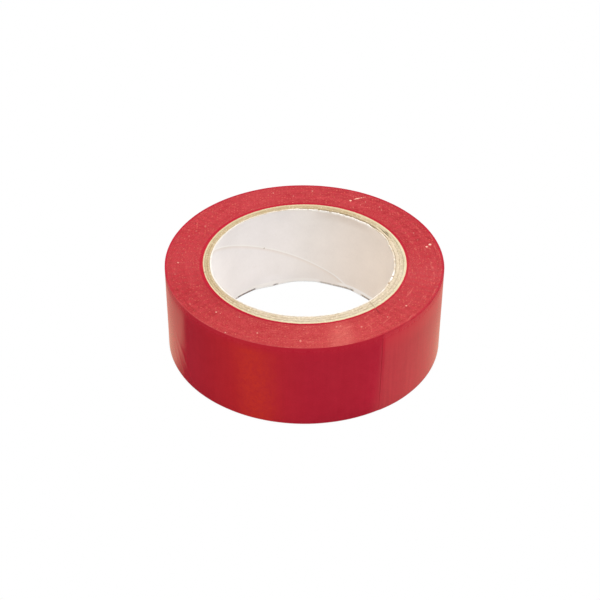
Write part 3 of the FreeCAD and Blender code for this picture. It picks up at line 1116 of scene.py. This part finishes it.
# tufts: seed, count, radius, first and last polar angle, reach, thickness
ply("core_liner", "core_liner_paper", order=0, seam_top=LINER_SEAM, gap=0.004, mat=PAPER,
    push=(LINER_PUSH, 0.76), ragged=0.030,
    steps=900, rows=44,
    tufts=[(71, 46, 19.00, (25, 105), 0.55, 0.014), (72, 10, 18.60, (-20, 24), 0.40, 0.012)])
ply("core_inner_ply", "core_inner_board", order=1, seam_top=-48.0, gap=0.20, mat=BOARD,
    push=(0.76, 0.46), ragged=0.034,
    tufts=[(74, 24, 19.4, (15, 200), 0.26, 0.012)])
ply("core_middle_ply", "core_middle_board", order=2, seam_top=72.0, gap=0.20, mat=BOARD,
    push=(0.44, 0.20), ragged=0.034,
    tufts=[(75, 20, 19.95, (15, 200), 0.24, 0.012)])
ply("core_outer_ply", "core_outer_board", order=3, seam_top=-168.0, gap=0.20, mat=BOARD_OUT,
    push=(0.18, 0.0), ragged=0.030)


# ---------------------------------------------------------------- world and lights
scene = bpy.context.scene
scene.view_settings.view_transform = "Standard"
scene.view_settings.look = "None"
scene.view_settings.exposure = 0.0
scene.view_settings.gamma = 1.0

# the camera sees plain white, and the roll is lit by a dimmer warm white
world = bpy.data.worlds.new("studio")
scene.world = world
sky = Graph(world)
sky_light = sky.node("Background", {"Color": (1.0, 0.988, 0.975), "Strength": 0.64})
sky_seen = sky.node("Background", {"Color": (1.0, 1.0, 1.0), "Strength": 1.0})
is_camera = sky.node("LightPath", out="Is Camera Ray")
sky.add("OutputWorld", {0: sky.node("MixShader", {0: is_camera, 1: sky_light, 2: sky_seen})})


def area(name, size, power, at, colour):
    """A square lamp aimed just above the middle of the floor, in metres and watts."""
    lamp = bpy.data.lights.new(name, "AREA")
    lamp.shape = "SQUARE"
    lamp.size = size
    lamp.energy = power
    lamp.color = colour
    obj = bpy.data.objects.new(name, lamp)
    scene.collection.objects.link(obj)
    obj.location = at
    aim = Vector((0, 0, 0.01)) - Vector(at)
    obj.rotation_euler = aim.to_track_quat("-Z", "Y").to_euler()


def from_angle(heading, elevation, distance):
    heading, elevation = math.radians(heading), math.radians(elevation)
    level = distance * math.cos(elevation)
    return (level * math.cos(heading), level * math.sin(heading), distance * math.sin(elevation))


area("key", size=0.22, power=2.1, at=from_angle(heading=62.0, elevation=48.0, distance=0.60),
     colour=(1.0, 0.972, 0.935))
area("overhead", size=0.34, power=1.8, at=(0.02, 0.10, 0.62), colour=(1.0, 0.988, 0.972))


# ---------------------------------------------------------------- floor
def beyond(sheet, theta, heading, soft):
    """1 on the floor to the left of a line from the roll's foot at angle theta along heading."""
    theta, heading = math.radians(theta), math.radians(heading)
    left_x, left_y = -math.sin(heading), math.cos(heading)
    at = OUTER_R * MM * (left_x * math.cos(theta) + left_y * math.sin(theta))
    across = sheet.node("NewGeometry").vector("DOT_PRODUCT", (left_x, left_y, 0.0), "Value")
    return across.rise(at - soft, at + soft)


def mirrored_floor(sheet):
    """A painted reflection, glowing and seen only by glossy rays: what the roll's glossy side
    mirrors, lit sheet behind and at the sides, painted shade in front.
    """
    x, y, _ = sheet.split(sheet.node("NewGeometry"))
    left = 1.0 - beyond(sheet, theta=-150.4, heading=154.5, soft=0.0006)
    left = left * x.fall(-14.0 * MM, -6.0 * MM).max(y.rise(-2.0 * MM, 4.0 * MM))
    right = beyond(sheet, theta=-60.4, heading=-19.0, soft=0.0020)
    left_lit = sheet.mix((0.445, 0.240, 0.168), to=(0.585, 0.305, 0.240),
                         by=y.rise(-6.0 * MM, 14.0 * MM))
    lit = sheet.mix((0.075, 0.060, 0.055), to=left_lit, by=left)
    right_lit = sheet.mix((0.84, 0.52, 0.37), to=(0.78, 0.39, 0.30),
                          by=y.rise(-6.0 * MM, 12.0 * MM))
    lit = sheet.mix(lit, to=right_lit, by=right)
    return sheet.node("Emission", {"Color": lit})


def pale_sheet():
    """A pale sheet that the camera sees as plain glowing white, with a painted contact shadow close
    under the roll.
    """
    mat = bpy.data.materials.new("pale_sheet")
    sheet = Graph(mat)
    rays = sheet.add("LightPath").outputs
    # the paper close to the roll glows a little, so that the foot of the side isn't dull
    radius = sheet.node("NewGeometry").length()
    glow = radius.rise(0.030, 0.055, to=(0.42, 0.0)) * radius.rise(0.0195, 0.0280, to=(0.15, 1.0))
    bounce = sheet.node("Emission", {"Color": (1.0, 0.97, 0.94), "Strength": glow})
    diffuse = sheet.node("BsdfDiffuse", {"Color": (0.87, 0.85, 0.825)})
    lit = sheet.node("AddShader", {0: diffuse, 1: bounce})
    lit = sheet.node("MixShader", {0: rays["Is Glossy Ray"], 1: lit, 2: mirrored_floor(sheet)})
    # painted contact shadow: the glowing white that the camera sees dims where the roll is close
    contact = sheet.node("AmbientOcclusion", {"Distance": 0.0009}, "AO", samples=8)
    seen = sheet.node("Emission", {"Strength": contact.line(0.0, 0.60, to=(0.55, 1.0))})
    shown = sheet.node("MixShader", {0: rays["Is Camera Ray"], 1: lit, 2: seen})
    sheet.add("OutputMaterial", {"Surface": shown})
    return mat


floor_mesh = bpy.data.meshes.new("floor")
floor_mesh.from_pydata([(-3, -3, 0), (3, -3, 0), (3, 3, 0), (-3, 3, 0)], [], [(0, 1, 2, 3)])
floor = bpy.data.objects.new("floor", floor_mesh)
scene.collection.objects.link(floor)
floor.location.z = -0.00002
floor_mesh.materials.append(pale_sheet())


# ---------------------------------------------------------------- camera
pitch, tilt = math.radians(37.159), math.radians(0.278)
forward = Vector((0.0, math.cos(pitch), -math.sin(pitch)))
level_right, level_up = Vector((1.0, 0.0, 0.0)), Vector((0.0, math.sin(pitch), math.cos(pitch)))
right = level_right * math.cos(tilt) + level_up * math.sin(tilt)
up = -level_right * math.sin(tilt) + level_up * math.cos(tilt)
camera_data = bpy.data.cameras.new("camera")
camera_data.sensor_width = 36.0
camera_data.lens = 87.18
camera_data.clip_start = 0.005
camera_data.clip_end = 20.0
camera = bpy.data.objects.new("camera", camera_data)
scene.collection.objects.link(camera)
pose = Matrix((right, up, -forward)).transposed().to_4x4()
pose.translation = (-0.828 * MM, -239.330 * MM, 190.356 * MM)
camera.matrix_world = pose
scene.camera = camera
